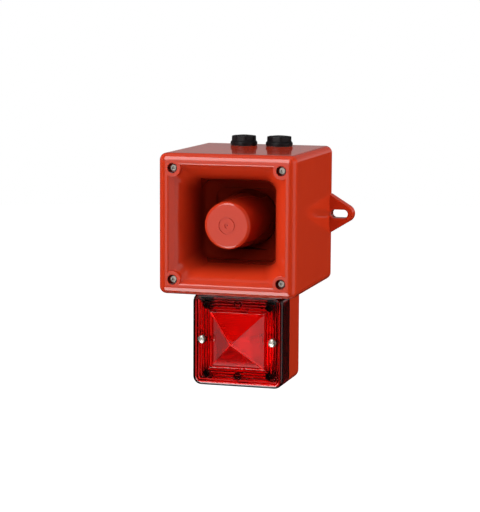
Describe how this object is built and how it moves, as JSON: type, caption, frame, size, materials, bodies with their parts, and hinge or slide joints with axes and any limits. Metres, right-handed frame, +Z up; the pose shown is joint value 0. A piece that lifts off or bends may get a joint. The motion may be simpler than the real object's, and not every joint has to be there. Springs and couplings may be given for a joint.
{
  "type": "horn strobe",
  "caption": "Wall-mounted square horn sounder with a re-entrant nose and a red ribbed beacon with a pyramid lens slung beneath it.",
  "frame": {"origin": "centre of the sounder box's flat rear face, which lies on the wall", "axes": "+Z up, +Y into the wall, the horn looks along -Y, +X to the right seen from the front"},
  "size_m": [0.1822, 0.15, 0.2402],
  "materials": {
    "red_plastic": "glossy moulded flame-retardant ABS",
    "red_lens": "transparent moulded polycarbonate with fine ribs",
    "black_plastic": "moulded nylon, satin",
    "black_rubber": "moulded seal",
    "bright_steel": "bright stainless steel",
    "plated_steel": "zinc plated",
    "cast_aluminium": "die cast, as cast",
    "grey_paint": "pressed steel, painted",
    "diaphragm_film": "pressed phenolic film",
    "copper_wire": "enamelled copper wire",
    "ferrite": "sintered ferrite",
    "board_laminate": "glass fibre laminate with green solder mask",
    "pale_plastic": "moulded nylon",
    "green_plastic": "moulded terminal housing",
    "switch_body": "moulded switch housing",
    "laminated_steel": "varnished steel sheets",
    "capacitor_sleeve": "shrunk sleeve over an aluminium can",
    "wire_insulation": "insulated wire",
    "reflector_white": "white sheet reflector",
    "clear_glass": "clear tube"
  },
  "bodies": {
    "sounder": {"amplifier_chip": "black_plastic", "basket_ring": "black_plastic", "beacon_base": "red_plastic", "beacon_board": "board_laminate", "beacon_lens": "red_lens", "board_capacitors": "capacitor_sleeve", "board_screws": "bright_steel", "board_spacers": "pale_plastic", "clamp_ring": "black_plastic", "cover_gasket": "black_rubber", "cover_screws": "bright_steel", "driver_can": "grey_paint", "driver_front_plate": "cast_aluminium", "driver_gasket": "black_rubber", "driver_leads": "wire_insulation", "driver_screws": "bright_steel", "driver_terminals": "pale_plastic", "entry_plugs": "black_plastic", "entry_seals": "black_rubber", "flash_capacitor": "capacitor_sleeve", "flash_tube": "clear_glass", "front_cover": "red_plastic", "horn_flare": "red_plastic", "lens_gasket": "black_rubber", "lens_screw_seals": "black_rubber", "lens_screws": "bright_steel", "link_leads": "wire_insulation", "link_nipples": "black_plastic", "link_spacer": "black_rubber", "magnet": "ferrite", "mounting_lugs": "red_plastic", "nipple_locknuts": "black_plastic", "nose_horn": "red_plastic", "phase_plug": "black_plastic", "pole_yoke": "plated_steel", "rear_housing": "red_plastic", "reflector": "reflector_white", "reflector_screws": "bright_steel", "reflector_spacers": "pale_plastic", "sounder_board": "board_laminate", "surround": "diaphragm_film", "terminal_block": "green_plastic", "terminal_screws": "bright_steel", "throat_chamber": "red_plastic", "tone_switch": "switch_body", "tone_tube": "black_plastic", "top_plate": "plated_steel", "transformer_coil": "copper_wire", "transformer_core": "laminated_steel", "trigger_coil": "copper_wire", "tube_holders": "pale_plastic", "volume_pot": "switch_body"},
    "diaphragm_group": {"diaphragm": "diaphragm_film", "voice_coil": "copper_wire"},
    "volume_rotor": {"volume_rotor": "pale_plastic"},
    "tone_lever_1": {"tone_lever_1": "pale_plastic"},
    "tone_lever_2": {"tone_lever_2": "pale_plastic"},
    "tone_lever_3": {"tone_lever_3": "pale_plastic"},
    "tone_lever_4": {"tone_lever_4": "pale_plastic"},
    "tone_lever_5": {"tone_lever_5": "pale_plastic"}
  },
  "joints": [
    {"name": "diaphragm_travel", "type": "slide", "parent": "sounder", "child": "diaphragm_group", "axis": [0, -1, 0], "range_m": [-0.0004, 0.0004], "stiffness_N_per_m": 400},
    {"name": "volume_turn", "type": "hinge", "parent": "sounder", "child": "volume_rotor", "pos_m": [0.031, -0.015, -0.038], "axis": [0, -1, 0], "range_deg": [-135, 135]},
    {"name": "tone_lever_1_slide", "type": "slide", "parent": "sounder", "child": "tone_lever_1", "axis": [0, 0, 1], "range_m": [0, 0.002]},
    {"name": "tone_lever_2_slide", "type": "slide", "parent": "sounder", "child": "tone_lever_2", "axis": [0, 0, 1], "range_m": [0, 0.002]},
    {"name": "tone_lever_3_slide", "type": "slide", "parent": "sounder", "child": "tone_lever_3", "axis": [0, 0, 1], "range_m": [0, 0.002]},
    {"name": "tone_lever_4_slide", "type": "slide", "parent": "sounder", "child": "tone_lever_4", "axis": [0, 0, 1], "range_m": [0, 0.002]},
    {"name": "tone_lever_5_slide", "type": "slide", "parent": "sounder", "child": "tone_lever_5", "axis": [0, 0, 1], "range_m": [0, 0.002]}
  ]
}
